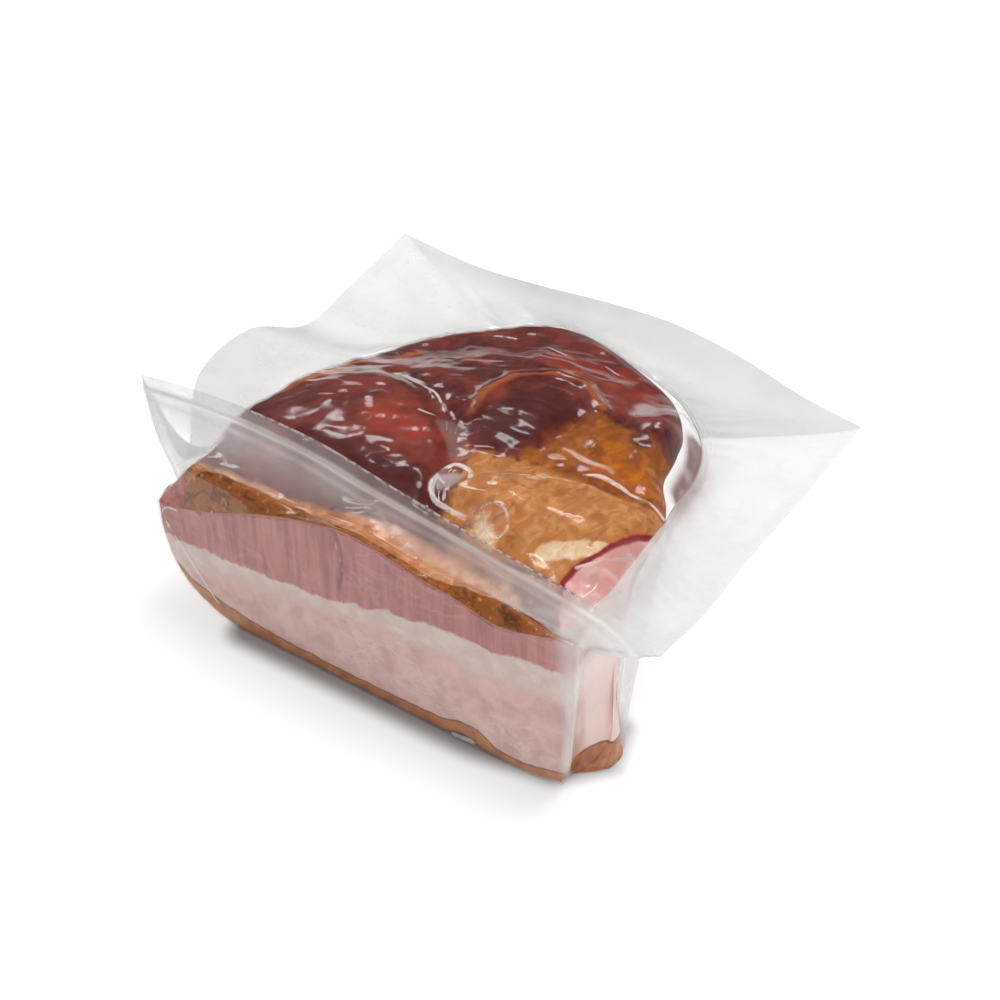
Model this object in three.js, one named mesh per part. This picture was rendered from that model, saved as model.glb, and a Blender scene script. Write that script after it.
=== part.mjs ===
// A slab of smoked bacon shut in a clear vacuum pouch, lying on its rind.
//
// The pouch is one sealed thing that clings to the slab, so it is one closed solid: the slab's whole
// outside, with its two flat cuts and its lumpy smoked top, and the wide film rim that leaves the slab
// at its upper edge. Along the long cut the rim stands up as a strip, and it spreads out elsewhere.
//
// The skin is lofted. Going once round the pouch, every column knows where the slab's upper edge, its
// foot and the rim's free edge lie. Closed rings of points run from the middle of the top, over the
// slab, out along the rim's upper face, back along its lower face, down the sides and under the slab.
//
// Millimetres, +Z up. The long cut faces -Y and the short cut faces +X. The origin is on the surface
// that the slab lies on, under the middle of the slab.
import * as THREE from "three";

// Driving dimensions
const SLAB_LENGTH = 180; // along the long cut
const LONG_CUT_Y = -72;
const CUT_HEIGHT = 60; // of the long cut, away from its ends
const CROWN_HEIGHT = 71; // top of the smoked side
const FILM = 0.8; // the two sheets of the rim, pressed together
const MIDDLE = new THREE.Vector3(0, 5, 0); // the rings of the top and of the foot close on it
const STEPS = { front: 30, right: 20, back: 24, left: 24 }; // columns on each side of the pouch

// Rings of points across each part of the skin
const TOP_RINGS = 22;
const RIM_RINGS = 5;
const SIDE_RINGS = 8;
const WALL_SHARE = 0.6; // of the side rings, those above the turn to the foot
const FOOT_RINGS = 3;

const HALF_LENGTH = SLAB_LENGTH / 2;
const RIM_ROOT_Y = LONG_CUT_Y + 5; // the rim leaves the top just behind the long cut,
const RIM_ROOT_HEIGHT = 62; // in a nearly straight line,
const RIM_ROOT_INSET = 2; // and this far in from the slab's edge elsewhere

// The pouch's upper edge, where the rim leaves it, from the right end of the long cut round to its left
// end. z is its height.
const UPPER_EDGE = [
  [90, -72, 61.5],
  [85, -30, 61],
  [81, -2, 60],
  [77, 14, 58],
  [74, 31, 56.5],
  [68, 47, 56.5],
  [57, 62, 57.5],
  [39, 77, 59],
  [11, 87.5, 61],
  [-14, 95, 61.5],
  [-31, 98, 58.5],
  [-47, 88, 56.5],
  [-63, 74, 55],
  [-77, 58, 53],
  [-87, 38, 51.5],
  [-91, 12, 50],
  [-91, -22, 48],
  [-90, -72, 43.5],
];

// Where the sides meet the surface that the slab lies on, point for point with the upper edge. Past
// the short cut the slab overhangs its foot, and the film spans the overhang nearly straight.
const FOOT = [
  [81, -67],
  [94, -53],
  [87, -35],
  [68, -28],
  [54, -14],
  [46, 2],
  [38, 18],
  [26, 32],
  [8, 44],
  [-8, 52],
  [-20, 56],
  [-32, 52],
  [-40, 40],
  [-45, 26],
  [-49, 8],
  [-51, -14],
  [-52, -40],
  [-50, -69],
];

// How square the turn from side to foot is: 1 is a straight slope, 2 a plain ellipse, more is squarer
const SQUARENESS = [
  4, 1, 1, 1, 1.1, 1.3, 1.7, 2.1, 2.5, 2.8, 2.8, 2.8, 2.6, 2.5, 2.5, 2.5, 2.5,
  2.5,
];
const FRONT_SQUARENESS = 9;

// The rim's free edge. Each side starts where the last one ends, at a corner of the pouch.
const FREE_EDGE = {
  front: [
    [-110, -55, 81],
    [-80, -60, 88],
    [-49, -62, 91],
    [-17, -62, 89.5],
    [16, -62, 83.5],
    [48, -62, 78],
    [78, -62, 73.5],
    [102, -62, 69],
    [114, -61, 61.5],
  ],
  right: [
    [114, -61, 61.5],
    [113, -30, 59.5],
    [109.5, 4, 58.5],
    [106, 50, 56.5],
    [101, 106, 55],
  ],
  back: [
    [101, 106, 55],
    [75, 106, 60],
    [48, 106, 68],
    [18, 106, 73],
    [-14, 106, 73],
    [-46, 106, 71],
    [-80, 106, 70.5],
    [-118, 106, 75],
  ],
  left: [
    [-118, 106, 75],
    [-118, 70, 65],
    [-118, 40, 58.5],
    [-118, 8, 70],
    [-117, -22, 63],
    [-101, -48, 44],
    [-110, -55, 81],
  ],
};

// Lumps and creases of the smoked top, as the film shows them. Each follows a path of plan points:
// one point makes a round lump. rise is its height, or its depth if below zero, and spread its reach.
const RELIEF = {
  leftDome: { path: [[-45, -14]], spread: 36, rise: 3.5 },
  middleCrease: {
    path: [
      [-49, 16],
      [-16, 2],
      [-2, -10],
      [8, -26],
      [14, -45],
    ],
    spread: 7,
    rise: -4,
  },
  brim: {
    path: [
      [-10, 10],
      [-12, 31],
      [2, 49],
      [25, 40],
    ],
    spread: 7,
    rise: 2.8,
  },
  darkLobe: { path: [[8, 20]], spread: 15, rise: 2.5 },
  creaseUnderLobe: {
    path: [
      [10, -16],
      [26, 4],
      [23, 28],
    ],
    spread: 6.5,
    rise: -2.5,
  },
  tanLobe: {
    path: [
      [36, -32],
      [66, -24],
    ],
    spread: 15,
    rise: 4,
  },
  creaseOverTanLobe: {
    path: [
      [14, -20],
      [42, -5],
      [78, 0],
    ],
    spread: 6.5,
    rise: -3,
  },
  amberHollow: { path: [[55, 17]], spread: 15, rise: -3 },
  backPit: { path: [[38, 53]], spread: 8, rise: -4 },
  rightLobe: { path: [[54, 41]], spread: 12, rise: 4.5 },
  backSlope: {
    path: [
      [-72, 40],
      [-46, 64],
      [-20, 84],
      [30, 74],
    ],
    spread: 26,
    rise: -8,
  },
};
const NATURAL_SHOULDER = 15; // how far in from the natural sides the top rounds down,
const LONG_CUT_SHOULDER = 3; // from the long cut,
const SHORT_CUT_SHOULDER = 11; // and from the short cut, which leans back at its top

const clamp01 = (v) => Math.min(1, Math.max(0, v));
const smooth = (v) => clamp01(v) ** 2 * (3 - 2 * clamp01(v));
const bell = (v) => Math.exp(-v * v);
const vector = ([x, y, z = 0]) => new THREE.Vector3(x, y, z);
const curveThrough = (points) =>
  new THREE.CatmullRomCurve3(points.map(vector), false, "catmullrom", 0.5);

// Height of the long cut's upper edge: lower at the left end, proud left of the middle
function cutHeight(x) {
  const leftDrop = 17 * smooth((-20 - x) / 72);
  const hump = 6.5 * bell((x - 2) / 26);
  const dip = 3.5 * bell((x - 62) / 12);
  const rightLift = 2 * smooth((x - 70) / 20);
  return CUT_HEIGHT - leftDrop + hump - dip + rightLift;
}

// Plan distance from a point to a path of straight stretches
function distanceToPath(x, y, path) {
  const point = new THREE.Vector2(x, y);
  const corners = path.map(([px, py]) => new THREE.Vector2(px, py));
  if (corners.length === 1) return point.distanceTo(corners[0]);
  let nearest = Infinity;
  for (let i = 1; i < corners.length; i++) {
    const along = corners[i].clone().sub(corners[i - 1]);
    const offset = point.clone().sub(corners[i - 1]);
    const share = clamp01(offset.dot(along) / along.lengthSq());
    nearest = Math.min(
      nearest,
      offset.distanceTo(along.multiplyScalar(share)),
    );
  }
  return nearest;
}

// Height of the smoked top, before it rounds down at its sides
function topHeight(x, y) {
  const crown = CROWN_HEIGHT - 7 * (x / HALF_LENGTH) ** 2;
  let height = THREE.MathUtils.lerp(
    rimRootHeight(x),
    crown,
    smooth((y - RIM_ROOT_Y) / 36),
  );
  const awayFromCut = smooth((y - LONG_CUT_Y - 4) / 14);
  for (const { path, spread, rise } of Object.values(RELIEF))
    height += rise * awayFromCut * bell(distanceToPath(x, y, path) / spread);
  return height;
}

// Height at which the rim leaves the slab along the long cut: over the hump, and lower at both ends
function rimRootHeight(x) {
  const ends = 14 * smooth((-72 - x) / 18) + 4 * smooth((x - 64) / 24);
  return Math.max(RIM_ROOT_HEIGHT - ends, cutHeight(x) - 1);
}

// One column of the long cut, at a share of the way from its left end to its right end
function frontColumn(share) {
  const x = THREE.MathUtils.lerp(-HALF_LENGTH, HALF_LENGTH, share);
  const leftTuck = 40 * (1 - smooth(share / 0.35));
  const rightTuck = 9 * smooth((share - 0.85) / 0.15);
  const toLeft = 1 - smooth(share / 0.2);
  const toRight = smooth((share - 0.9) / 0.1);
  const square = FRONT_SQUARENESS - toLeft * 6.5 - toRight * 5;
  return {
    upper: new THREE.Vector3(x, LONG_CUT_Y, cutHeight(x)),
    root: new THREE.Vector3(x * 0.97, RIM_ROOT_Y, rimRootHeight(x)),
    foot: new THREE.Vector3(x + leftTuck - rightTuck, LONG_CUT_Y + 3 + toRight * 2, 0),
    square,
    shoulder: LONG_CUT_SHOULDER,
    bow: new THREE.Vector3(0, -2 - 4 * smooth((share - 0.4) / 0.6), 0),
  };
}

// One column of the sides, at a share of the way from the long cut's right end round to its left end
function sideColumn(share, curves) {
  const upper = curves.upper.getPoint(share);
  const inset = new THREE.Vector3(-upper.x, MIDDLE.y - upper.y, 0).setLength(
    RIM_ROOT_INSET,
  );
  const natural = smooth((share - 0.1) / 0.07) * smooth((1 - share) / 0.05);
  const fromCorner = smooth(Math.min(share, 1 - share) / 0.04);
  const root = upper.clone().add(inset);
  root.z += 0.8;
  const cutRoot = new THREE.Vector3(upper.x * 0.97, RIM_ROOT_Y, root.z);
  cutRoot.setZ(rimRootHeight(share < 0.5 ? HALF_LENGTH : -HALF_LENGTH));
  return {
    upper,
    root: cutRoot.lerp(root, fromCorner),
    foot: curves.foot.getPoint(share),
    square: curves.square.getPoint(share).x,
    shoulder: THREE.MathUtils.lerp(
      SHORT_CUT_SHOULDER,
      NATURAL_SHOULDER,
      natural,
    ),
    bow: new THREE.Vector3(0, 0, -2 * fromCorner),
  };
}

// Every column of the pouch, anticlockwise from its front left corner as seen from above
function allColumns() {
  const curves = {
    upper: curveThrough(UPPER_EDGE),
    foot: curveThrough(FOOT),
    square: curveThrough(SQUARENESS.map((n) => [n, 0, 0])),
  };
  const columns = [];
  const sides = Object.keys(STEPS);
  for (const [turn, side] of sides.entries()) {
    const freeEdge = curveThrough(FREE_EDGE[side]);
    for (let i = 0; i < STEPS[side]; i++) {
      const share = i / STEPS[side];
      const column =
        side === "front"
          ? frontColumn(share)
          : sideColumn((turn - 1 + share) / (sides.length - 1), curves);
      column.free = freeEdge.getPoint(share);
      columns.push(column);
    }
  }
  return columns;
}

// Rings of the smoked top, from the innermost out, without the rim's root
function topRings(columns) {
  const rings = [];
  for (let ring = 1; ring < TOP_RINGS; ring++) {
    const inward = 1 - (ring / TOP_RINGS) ** 0.8;
    rings.push(
      columns.map(({ root, shoulder }) => {
        const point = root.clone().lerp(MIDDLE, inward);
        const fromRoot = Math.hypot(point.x - root.x, point.y - root.y);
        const rounding = 1 - (1 - clamp01(fromRoot / shoulder)) ** 2.4;
        const height = topHeight(point.x, point.y);
        return point.setZ(THREE.MathUtils.lerp(root.z, height, rounding));
      }),
    );
  }
  return rings;
}

// A point of the rim halfway between its two faces, at a share of the way out to its free edge
function rimPoint({ root, free, bow }, i, out) {
  const pucker = 0.7 * Math.sin(i * 1.15) * out * bell((out - 0.3) / 0.3);
  return root
    .clone()
    .lerp(free, out)
    .addScaledVector(bow, 4 * out * (1 - out))
    .add(new THREE.Vector3(0, 0, pucker * (1 - out)));
}

// Rings of the rim's upper face if side is 1, or of its lower face if -1, from its root to its free edge
function rimFace(columns, side) {
  const count = columns.length;
  const middle = (i, ring) => {
    const at = (i + count) % count;
    return rimPoint(columns[at], at, ring / RIM_RINGS);
  };
  const rings = [];
  for (let ring = 0; ring <= RIM_RINGS; ring++)
    rings.push(
      columns.map((_, i) => {
        const around = middle(i + 1, ring).sub(middle(i - 1, ring));
        const outward = middle(i, Math.min(ring + 1, RIM_RINGS)).sub(
          middle(i, Math.max(ring - 1, 0)),
        );
        const normal = outward.cross(around).normalize();
        return middle(i, ring).addScaledVector(normal, (side * FILM) / 2);
      }),
    );
  return rings;
}

// How far in and how far down a ring of the sides lies, as shares, for a column of this squareness.
// The first rings go down the wall and the last ones round the turn to the foot.
function sideShares(ring, square) {
  const turn = ring / SIDE_RINGS;
  const corner = 0.5 ** (1 / square);
  if (turn <= WALL_SHARE) {
    const down = (corner * turn) / WALL_SHARE;
    return { down, inward: 1 - (1 - down ** square) ** (1 / square) };
  }
  const left = corner * Math.max(0, 1 - (turn - WALL_SHARE) / (1 - WALL_SHARE));
  return { down: (1 - left ** square) ** (1 / square), inward: 1 - left };
}

// Rings from under the rim's root down the sides to the foot
function sideRings(columns) {
  const rings = [];
  for (let ring = 0; ring <= SIDE_RINGS; ring++)
    rings.push(
      columns.map(({ upper, foot, square }) => {
        const { down, inward } = sideShares(ring, square);
        const point = upper.clone().lerp(foot, inward);
        return point.setZ((upper.z - 1) * (1 - down));
      }),
    );
  return rings;
}

// Rings across the flat foot, from its outline in
function footRings(columns) {
  const rings = [];
  for (let ring = 1; ring < FOOT_RINGS; ring++)
    rings.push(
      columns.map(({ foot }) => foot.clone().lerp(MIDDLE, ring / FOOT_RINGS)),
    );
  return rings;
}

// Closes a stack of rings into one skin, with a point at each end
function loft(first, rings, last) {
  const count = rings[0].length;
  const points = [first, ...rings.flat(), last];
  const at = (ring, i) => 1 + ring * count + (i % count);
  const faces = [];
  for (let i = 0; i < count; i++) {
    faces.push(0, at(0, i), at(0, i + 1));
    for (let ring = 0; ring + 1 < rings.length; ring++)
      faces.push(
        at(ring, i),
        at(ring + 1, i),
        at(ring + 1, i + 1),
        at(ring, i),
        at(ring + 1, i + 1),
        at(ring, i + 1),
      );
    faces.push(
      at(rings.length - 1, i + 1),
      at(rings.length - 1, i),
      points.length - 1,
    );
  }
  const geometry = new THREE.BufferGeometry().setFromPoints(points);
  geometry.setIndex(faces);
  geometry.computeVertexNormals();
  return geometry;
}

function pouchGeometry() {
  const columns = allColumns();
  const rings = [
    ...topRings(columns),
    ...rimFace(columns, 1),
    ...rimFace(columns, -1).reverse(),
    ...sideRings(columns),
    ...footRings(columns),
  ];
  const summit = MIDDLE.clone().setZ(topHeight(MIDDLE.x, MIDDLE.y));
  return loft(summit, rings, MIDDLE.clone());
}

const group = new THREE.Group();
group.name = "bacon_pack";
const pouch = new THREE.Mesh(
  pouchGeometry(),
  new THREE.MeshStandardMaterial({
    color: 0xb98a80,
    roughness: 0.18,
    metalness: 0,
  }),
);
pouch.name = "vacuum_pouch";
group.add(pouch);

export default group;
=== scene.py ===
# A slab of smoked bacon shut in a clear vacuum pouch. The pouch stands for the CAD node of the same
# name: here it becomes the two sheets of film, sealed together round their edges, and the slab in them.
#
# The slab and the film are lofted from the same columns. Going once round the pack, every column knows
# where the slab's upper edge and foot lie and where the film's rim ends. Sizes are in millimetres up to
# the point where a mesh is made, and every mesh is in metres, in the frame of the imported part.
import math
from types import SimpleNamespace

import bpy
import numpy as np
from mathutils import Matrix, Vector


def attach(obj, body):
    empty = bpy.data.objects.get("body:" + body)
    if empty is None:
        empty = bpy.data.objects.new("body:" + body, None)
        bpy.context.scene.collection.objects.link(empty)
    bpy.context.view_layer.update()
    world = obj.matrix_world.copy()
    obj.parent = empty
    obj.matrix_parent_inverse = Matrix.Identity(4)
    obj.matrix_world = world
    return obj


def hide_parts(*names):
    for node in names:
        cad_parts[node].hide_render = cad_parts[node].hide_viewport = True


bl_info = {
    "name": "Bacon Pack",
    "version": (1, 0, 0),
    "blender": (4, 5, 0),
    "location": "View3D > Sidebar > Bacon Pack",
    "description": "Builds a slab of smoked bacon in a clear vacuum pouch",
    "category": "Add Mesh",
}

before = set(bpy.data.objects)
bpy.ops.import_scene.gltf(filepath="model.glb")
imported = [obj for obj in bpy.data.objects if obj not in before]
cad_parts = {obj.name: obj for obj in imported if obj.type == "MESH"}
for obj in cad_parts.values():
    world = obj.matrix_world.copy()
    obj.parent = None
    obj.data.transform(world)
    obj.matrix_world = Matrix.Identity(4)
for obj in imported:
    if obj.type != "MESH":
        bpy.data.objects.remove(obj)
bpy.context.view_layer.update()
MM = 0.001

# Sizes shared with the solid that the film and the slab replace
LONG_CUT_Y = -72.0
HALF_LENGTH = 90.0
CUT_HEIGHT = 60.0
CROWN_HEIGHT = 71.0
MIDDLE = np.array([0.0, 5.0])
RIM_ROOT_HEIGHT = 62.0
RIM_ROOT_DEPTH = 5.0  # the rim leaves the top this far behind the long cut
RIM_ROOT_INSET = 2.0  # and this far in from the slab's edge elsewhere
SIDES = ("front", "right", "back", "left")
FRONT_SHOULDER = 6.0  # how far in the top rounds down to the long cut
SHOULDERS = 11.0, 15.0  # and to the short cut and to the natural sides
FILM_IOR = 1.5
CLING_MILK = 0.012  # how milky the film is where it lies on the meat

# Strength of a relief that only shades, and its height in metres
MEAT_BUMP = 0.4, 0.0008
FILM_BUMP = 0.25, 0.00025
# The floor's own tones and its glow, close to the pack and far from it
FLOOR_TONES = 0.44, 0.46
FLOOR_GLOW = 0.58
FAR_GLOW = 0.36
FLOOR_HEIGHT = -0.2
# The studio's tone for plain light, for reflections and for the camera
STUDIO_TONE = (0.45, 0.45, 0.46)
MIRRORED_TONE = (0.05, 0.05, 0.052)
BACKDROP_TONE = (1, 1, 1)
# The softboxes: place and width in metres, the setting with their power and their share of it
SOFTBOXES = {
    "key_softbox": ((0.12, 0.34, 1.02), 0.6, "key_power", 1),
    "glint_softbox": ((-0.36, 0.5, 1.0), 0.22, "glint_power", 1),
    "side_glint_softbox": ((-0.8, 0.5, 0.7), 0.2, "glint_power", 0.7),
    "fill_softbox": ((0.55, -0.9, 0.5), 0.8, "fill_power", 1),
}
LIGHT_AIM = (0, 0, 0.03)

# Shades that go with the settings' colours, as on a screen from 0 to 255
SHADES = {
    "painted shade in the lean crease": (108, 54, 56),
    "grey seam": (196, 172, 164),
    "deep low fat": (190, 150, 144),
    "brown lean": (132, 52, 38),
    "bright lean": (150, 44, 24),
    "orange haze": (140, 66, 36),
    "pale amber": (158, 88, 18),
    "amber line": (104, 52, 18),
    "deep glow": (148, 74, 5),
    "pale glow": (178, 98, 9),
    "pale tan": (188, 132, 80),
    "tan line": (140, 78, 34),
    "deep orange": (150, 74, 34),
    "pale orange": (182, 112, 62),
    "orange line": (116, 46, 26),
    # The cream shades are partly pale fat and partly painted highlight of the film's shine
    "pale cream": (214, 200, 178),
    "deep red end": (150, 62, 52),
    "pale red end": (196, 118, 104),
    "brim": (150, 80, 38),
    "deep pale crust": (188, 122, 80),
    "pale crust": (210, 158, 120),
    "crag in pale crust": (150, 88, 48),
    "olive crust": (138, 92, 46),
    "crumb": (200, 142, 74),
}

# The pouch: its upper edge and its foot from the right end of the long cut round to its left end, and
# how square the turn between them is
POUCH = SimpleNamespace(
    upper=[
        (90, -72, 61.5), (85, -30, 61), (81, -2, 60), (77, 14, 58), (74, 31, 56.5), (68, 47, 56.5),
        (57, 62, 57.5), (39, 77, 59), (11, 87.5, 61), (-14, 95, 61.5), (-31, 98, 58.5),
        (-47, 88, 56.5), (-63, 74, 55), (-77, 58, 53), (-87, 38, 51.5), (-91, 12, 50),
        (-91, -22, 48), (-90, -72, 43.5),
    ],
    foot=[
        (81, -67), (94, -53), (87, -35), (68, -28), (54, -14), (46, 2), (38, 18), (26, 32),
        (8, 44), (-8, 52), (-20, 56), (-32, 52), (-40, 40), (-45, 26), (-49, 8), (-51, -14),
        (-52, -40), (-50, -69),
    ],
    square=[4, 1, 1, 1, 1.1, 1.3, 1.7, 2.1, 2.5, 2.8, 2.8, 2.8, 2.6] + [2.5] * 5,
    cut_end=0.12,
)
# The slab in it, point for point. The film spans its hollows: under the short cut's far end, and behind
# the top's back right edge.
SLAB = SimpleNamespace(
    upper=[
        (90, -72, 61.5), (84.6, -31, 60.8), (81, -6, 60.3), (73, 11, 58.5), (63, 26, 57),
        (58, 42, 56.5), (52, 58, 57), (37, 74.5, 59), (10, 87, 61), *POUCH.upper[9:],
    ],
    foot=[
        (81, -67), (93.6, -54), (91, -42), (64, -36), (52, -24), (42, -8), (34, 8), (24, 24),
        (8, 40), (-8, 50), (-20, 55), *POUCH.foot[11:],
    ],
    square=[4, 1, 0.4, 0.6, 0.7, 0.9, 1.3, 1.8, 2.3, 2.8, 2.8, 2.8, 2.6] + [2.5] * 5,
    cut_end=2 / 17,
)

# The rim's free edge. Each side starts where the last one ends, at a corner of the pouch.
FREE_EDGE = {
    "front": [
        (-110, -55, 81), (-80, -60, 88), (-49, -62, 91), (-17, -62, 89.5), (16, -62, 83.5),
        (48, -62, 78), (78, -62, 73.5), (102, -62, 69), (114, -61, 61.5),
    ],
    "right": [
        (114, -61, 61.5), (113, -30, 59.5), (109.5, 4, 58.5), (106, 50, 56.5), (101, 106, 55),
    ],
    "back": [
        (101, 106, 55), (75, 106, 60), (48, 106, 68), (18, 106, 73), (-14, 106, 73),
        (-46, 106, 71), (-80, 106, 70.5), (-118, 106, 75),
    ],
    "left": [
        (-118, 106, 75), (-118, 70, 65), (-118, 40, 58.5), (-118, 8, 70), (-117, -22, 63),
        (-101, -48, 44), (-110, -55, 81),
    ],
}

# Lumps and creases of the smoked top: a path of plan points, its reach, and its height or depth.
# The film bridges a crease that is less deep than the deepest.
DEEPEST_CREASE = -6
RELIEF = {
    "left_dome": ([(-45, -14)], 36, 3.5),
    "middle_crease": ([(-52, 19), (-32, 11), (-15, 2), (-2, -10), (8, -26), (15, -45)], 5, -4.5),
    "brim": ([(-5, 4), (-10, 20), (-9, 36), (1, 49), (13, 51), (29, 38)], 3.0, 2.4),
    "dark_lobe": ([(10, 16)], 16, 2.5),
    "crease_under_lobe": ([(14, -14), (27, -1), (27, 12), (24, 28)], 4.0, -2.2),
    "tan_lobe": ([(36, -31), (66, -23)], 15, 4),
    "crease_over_tan_lobe": ([(20, -14), (34, -4), (50, 0), (78, 0)], 4.0, -2.6),
    "amber_hollow": ([(55, 16)], 15, -3),
    "back_pit": ([(39, 53)], 6, -5),
    "right_lobe": ([(53, 45)], 10, 4.5),
    "back_slope": ([(-72, 40), (-46, 64), (-20, 84), (30, 74)], 26, -8),
}

# The layers of the long cut, as (x, height) along it
LEAN_BOTTOM = [
    (-90, 29), (-78, 28.5), (-66, 30), (-50, 31.5), (-36, 31.5), (-20, 33.5), (-4, 35.5), (8, 38),
    (15, 41), (28, 42.5), (46, 45.5), (62, 45), (76, 48), (92, 50),
]
SEAM_BOTTOM = [
    (-90, 12), (-61, 22), (-23, 27), (13, 33.5), (40, 35), (52, 32.5), (64, 35), (92, 38),
]
RIND_TOP = [
    (-90, 22), (-78, 13), (-64, 9.5), (-47, 6.5), (-11, 5), (24, 5.6), (38, 6), (47, 9), (54, 8.6),
    (61, 4.4), (72, 4), (84, 6.5), (92, 9),
]
# How far the crust reaches back from the long cut, as (x, reach)
CRUST_REACH = [
    (-74, 3), (-62, 8), (-32, 9), (-13, 5), (1, 2.5), (12, 3), (23, 4), (33, 2.5), (45, 5),
    (62, 7),
]


def smooth(value):
    """A soft step from 0 to 1."""
    value = np.clip(value, 0, 1)
    return value * value * (3 - 2 * value)


def bell(value):
    """A hump that is 1 at 0 and fades out past 1."""
    return np.exp(-np.square(value))


def mix(a, b, share):
    """a where share is 0, turning into b where it is 1."""
    return a + (b - a) * share


def curve_through(points, shares):
    """Points at these shares along a smooth curve through the given ones."""
    points = np.asarray(points, float)
    ends = 2 * points[0] - points[1], 2 * points[-1] - points[-2]
    points = np.vstack([ends[0], points, ends[1]])
    place = np.clip(shares, 0, 1) * (len(points) - 3)
    start = np.minimum(place.astype(int), len(points) - 4)
    w = (place - start)[:, None]
    a, b, c, d = (points[start + k] for k in range(4))
    bend = (2 * a - 5 * b + 4 * c - d) * w**2 + (3 * b - a - 3 * c + d) * w**3
    return 0.5 * (2 * b + (c - a) * w + bend)


def line_height(line, x):
    """Height of one of the cut's layers at x, without its small waviness."""
    xs, heights = zip(*line)
    return np.interp(x, xs, heights)


def lattice(ix, iy, seed):
    """A fixed random number from 0 to 1 at each whole point, stirred with large primes."""
    ix, iy = ix.astype(np.int64), iy.astype(np.int64)
    n = (ix * 374761393 + iy * 668265263 + seed * 974634777) & 0xFFFFFFFF
    n = ((n ^ (n >> 13)) * 1274126177) & 0xFFFFFFFF
    return ((n ^ (n >> 16)) & 0xFFFF) / 65535


def noise(x, y, seed):
    """Soft noise from -1 to 1, with lumps about one unit apart."""
    ix, iy = np.floor(x), np.floor(y)
    u, v = smooth(x - ix), smooth(y - iy)
    low = mix(lattice(ix, iy, seed), lattice(ix + 1, iy, seed), u)
    high = mix(lattice(ix, iy + 1, seed), lattice(ix + 1, iy + 1, seed), u)
    return 2 * mix(low, high, v) - 1


def layered_noise(x, y, seed, layers=3):
    """Noise with finer and finer lumps on it, from about -1 to 1."""
    total = np.zeros(np.broadcast(x, y).shape)
    for k in range(layers):
        total += noise(x * 2**k, y * 2**k, seed + k) / 2**k
    return total / (2 - 2.0 ** (1 - layers))


def path_distance(x, y, path):
    """Plan distance to a path of straight stretches."""
    path = [np.asarray(p, float) for p in path]
    if len(path) == 1:
        return np.hypot(x - path[0][0], y - path[0][1])
    nearest = np.full(np.broadcast(x, y).shape, np.inf)
    for a, b in zip(path, path[1:]):
        along = b - a
        share = ((x - a[0]) * along[0] + (y - a[1]) * along[1]) / (along @ along)
        share = np.clip(share, 0, 1)
        gap = np.hypot(x - a[0] - share * along[0], y - a[1] - share * along[1])
        nearest = np.minimum(nearest, gap)
    return nearest


def cut_height(x):
    """Height of the long cut's upper edge."""
    left_drop = 17 * smooth((-20 - x) / 72)
    hump = 6.5 * bell((x - 2) / 26)
    dip = 3.5 * bell((x - 62) / 12)
    right_lift = 2 * smooth((x - 70) / 20)
    return CUT_HEIGHT - left_drop + hump - dip + right_lift


def rim_root_height(x):
    """Height at which the rim leaves the slab along the long cut."""
    ends = 14 * smooth((-72 - x) / 18) + 4 * smooth((x - 64) / 24)
    return np.maximum(RIM_ROOT_HEIGHT - ends, cut_height(x) - 1)


def top_height(x, y, crease=1.0):
    """Height of the smoked top before it rounds down. crease below 1 is film that bridges the creases."""
    crown = CROWN_HEIGHT - 7 * (x / HALF_LENGTH) ** 2
    height = mix(rim_root_height(x), crown, smooth((y - LONG_CUT_Y - 5) / 36))
    away = smooth((y - LONG_CUT_Y - 4) / 14)
    for path, spread, rise in RELIEF.values():
        depth = rise * crease if DEEPEST_CREASE < rise < 0 else rise
        height = height + depth * away * bell(path_distance(x, y, path) / spread)
    return height


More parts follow.
